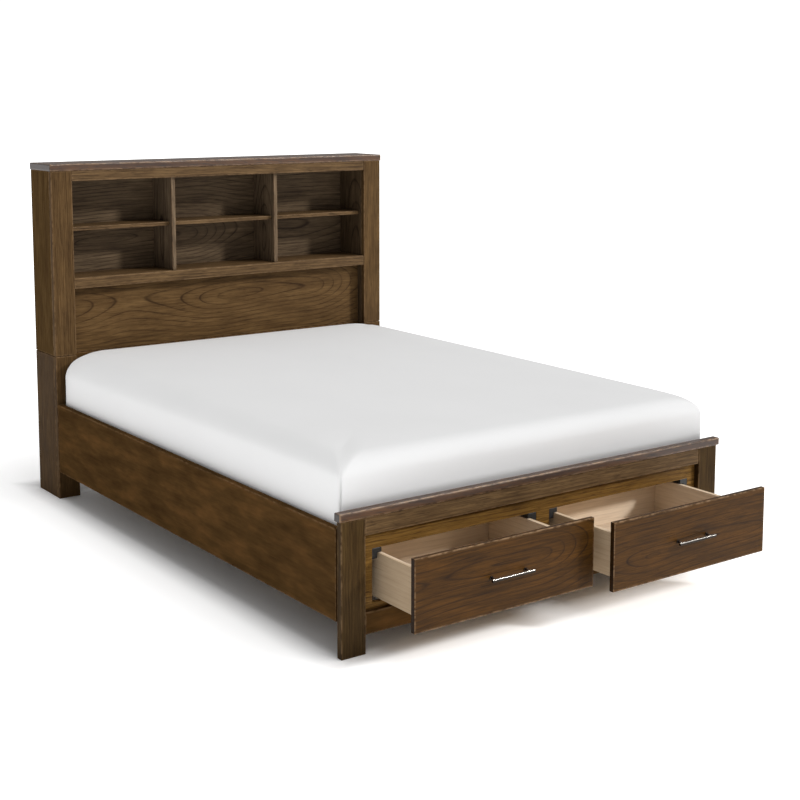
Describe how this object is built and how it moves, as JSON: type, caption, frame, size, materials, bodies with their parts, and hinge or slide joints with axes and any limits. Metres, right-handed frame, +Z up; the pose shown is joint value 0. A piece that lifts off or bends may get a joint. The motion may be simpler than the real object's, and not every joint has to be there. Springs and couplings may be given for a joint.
{
  "type": "platform bed with storage drawers",
  "caption": "Wooden platform bed with a tall bookcase headboard, plain side rails, slatted deck with mattress, and storage drawers that slide out of the footboard.",
  "frame": {"origin": "on the floor under the middle of the frame, where the middle centre leg stands", "axes": "+Z up; +Y towards the headboard, so the drawers open towards -Y; +X to the right of someone at the foot who looks at the bed"},
  "size_m": [1.67, 2.7112, 1.418],
  "materials": {
    "walnut": "open-pored walnut stain under satin lacquer",
    "dark_walnut": "darker walnut stain under satin lacquer",
    "pale_wood": "clear-sealed pale softwood and plywood",
    "zinc_steel": "zinc-plated sheet steel",
    "dark_bronze": "dark bronze plating, satin",
    "black_nylon": "moulded black nylon",
    "ticking": "smooth white knitted ticking"
  },
  "bodies": {
    "root": {"headboard_cap": "walnut", "headboard_stile_left": "walnut", "headboard_stile_right": "walnut", "headboard_side_left": "walnut", "headboard_side_right": "walnut", "headboard_header_rail": "walnut", "headboard_lower_rail": "walnut", "headboard_bottom_shelf": "walnut", "headboard_lower_panel": "walnut", "headboard_shelf_left": "walnut", "headboard_shelf_middle": "walnut", "headboard_shelf_right": "walnut", "headboard_leg_left": "walnut", "headboard_leg_right": "walnut", "footboard_cap": "walnut", "footboard_post_left": "walnut", "footboard_post_right": "walnut", "footboard_header_rail": "walnut", "footboard_face_panel": "walnut", "headboard_wall_left": "dark_walnut", "headboard_wall_right": "dark_walnut", "headboard_divider_left": "dark_walnut", "headboard_divider_right": "dark_walnut", "headboard_back_panel": "dark_walnut", "headboard_leg_brace": "dark_walnut", "footboard_bottom_rail": "dark_walnut", "side_rail_left": "dark_walnut", "side_rail_right": "dark_walnut", "slat_ledger_left": "pale_wood", "slat_ledger_right": "pale_wood", "center_beam": "pale_wood", "center_leg_middle": "pale_wood", "center_leg_head": "pale_wood", "slat_mat": "pale_wood", "drawer_partition": "pale_wood", "drawer_rear_rail": "pale_wood", "drawer_track_left": "zinc_steel", "drawer_track_right": "zinc_steel", "corner_guide_left_inner": "black_nylon", "corner_guide_left_outer": "black_nylon", "corner_guide_right_inner": "black_nylon", "corner_guide_right_outer": "black_nylon", "mattress": "ticking"},
    "drawer_left": {"drawer_left_front": "walnut", "drawer_left_inner_front": "pale_wood", "drawer_left_side_left": "pale_wood", "drawer_left_side_right": "pale_wood", "drawer_left_back": "pale_wood", "drawer_left_base": "pale_wood", "drawer_left_runner": "zinc_steel", "drawer_left_pull": "dark_bronze"},
    "drawer_right": {"drawer_right_front": "walnut", "drawer_right_inner_front": "pale_wood", "drawer_right_side_left": "pale_wood", "drawer_right_side_right": "pale_wood", "drawer_right_back": "pale_wood", "drawer_right_base": "pale_wood", "drawer_right_runner": "zinc_steel", "drawer_right_pull": "dark_bronze"}
  },
  "joints": [
    {"name": "drawer_left_slide", "type": "slide", "parent": "root", "child": "drawer_left", "axis": [0, -1, 0], "range_m": [-0.234, 0.116]},
    {"name": "drawer_right_slide", "type": "slide", "parent": "root", "child": "drawer_right", "axis": [0, -1, 0], "range_m": [-0.316, 0.034]}
  ]
}
